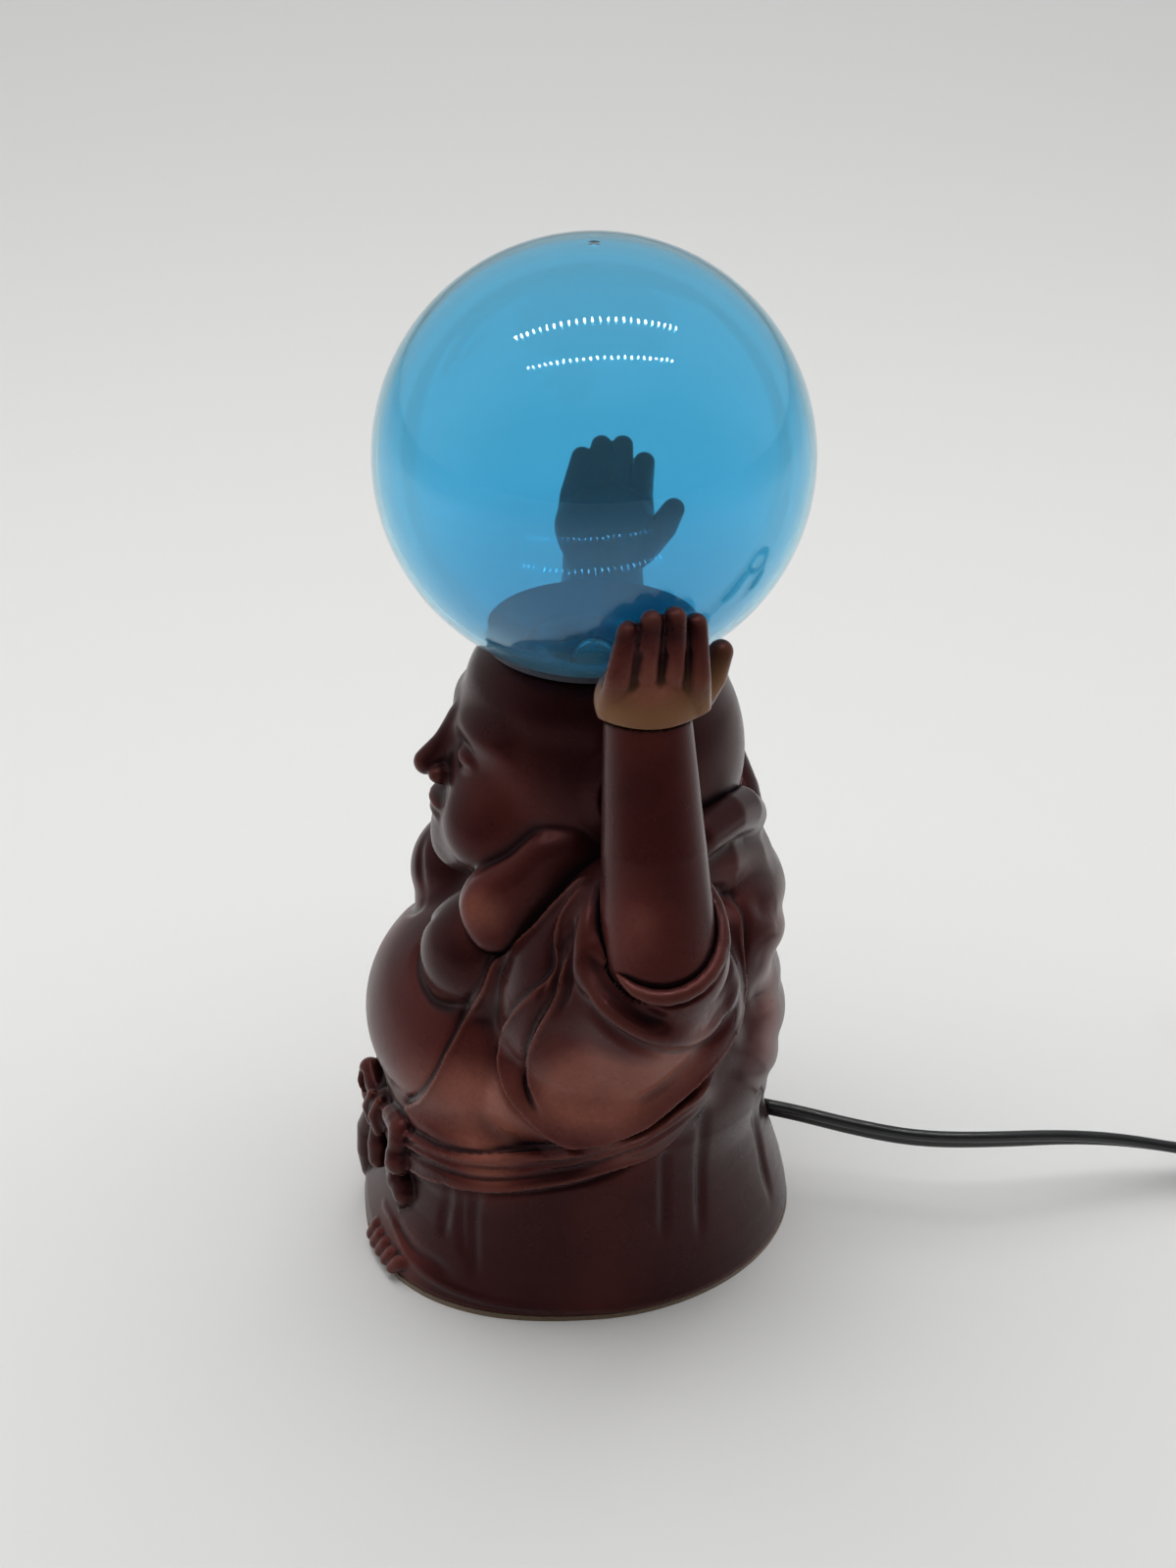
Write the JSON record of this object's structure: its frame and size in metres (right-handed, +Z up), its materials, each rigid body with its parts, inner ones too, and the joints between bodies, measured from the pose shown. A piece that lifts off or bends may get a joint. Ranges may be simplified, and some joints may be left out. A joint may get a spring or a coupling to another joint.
{
  "type": "plasma ball",
  "caption": "Plasma lamp: a cast laughing-monk figure holds a hollow blue glass globe on its head, with a driver board in its base and a mains lead with a rocker switch.",
  "frame": {"origin": "middle of the base pad's resting face", "axes": "+Z up, the figure looks along -Y, its left hand on the +X side"},
  "size_m": [0.1431, 0.3676, 0.256],
  "materials": {
    "resin": "antiqued mahogany polyresin, satin",
    "blue_glass": "transparent sky-blue blown glass",
    "clear_glass": "clear glass",
    "dark_rubber": "dark navy rubber",
    "silicone": "milky silicone",
    "conductor": "graphite filling",
    "felt": "tan felt",
    "plate_plastic": "black moulded ABS",
    "steel": "zinc-plated steel",
    "board": "green glass-epoxy board",
    "ferrite": "ferrite",
    "copper": "enamelled copper winding",
    "aluminium": "extruded aluminium",
    "component": "black epoxy",
    "film_box": "red box film capacitor",
    "resistor": "tan lacquer",
    "terminal": "green terminal plastic",
    "cord_pvc": "black PVC",
    "switch_plastic": "black moulded plastic",
    "rocker_plastic": "black moulded plastic",
    "brass": "brass",
    "tie_ribbon": "black ribbon twist tie"
  },
  "bodies": {
    "lamp": {"body_casting": "resin", "head_casting": "resin", "left_forearm": "resin", "right_forearm": "resin", "left_hand": "resin", "right_hand": "resin", "globe": "blue_glass", "globe_gasket": "dark_rubber", "neck_collar": "silicone", "electrode_stem": "clear_glass", "electrode_core": "conductor", "electrode_cap": "silicone", "high_voltage_lead": "silicone", "base_pad": "felt", "base_plate": "plate_plastic", "base_screws": "steel", "driver_board": "board", "board_screws": "steel", "transformer_bobbin": "component", "transformer_windings": "copper", "transformer_core": "ferrite", "heat_sink": "aluminium", "power_transistor": "component", "smoothing_capacitor": "component", "film_capacitors": "film_box", "rectifier_diodes": "component", "resistors": "resistor", "fuse": "clear_glass", "terminal_block": "terminal", "lead_wires": "cord_pvc", "internal_cord": "cord_pvc", "cord_clamp": "plate_plastic", "cord_grommet": "dark_rubber", "power_cord": "cord_pvc", "power_cord_coil": "cord_pvc", "power_cord_tail": "cord_pvc", "coil_tie": "tie_ribbon", "switch_lower_shell": "switch_plastic", "switch_upper_shell": "switch_plastic", "rocker_pin": "steel", "switch_contacts": "brass", "switch_screws": "steel", "plug_body": "cord_pvc", "plug_blades": "brass"},
    "rocker": {"switch_rocker": "rocker_plastic"}
  },
  "joints": [
    {"name": "rocker_hinge", "type": "hinge", "parent": "lamp", "child": "rocker", "pos_m": [0.009, 0.198, 0.0125], "axis": [-1, 0, 0], "range_deg": [0, 16]}
  ]
}
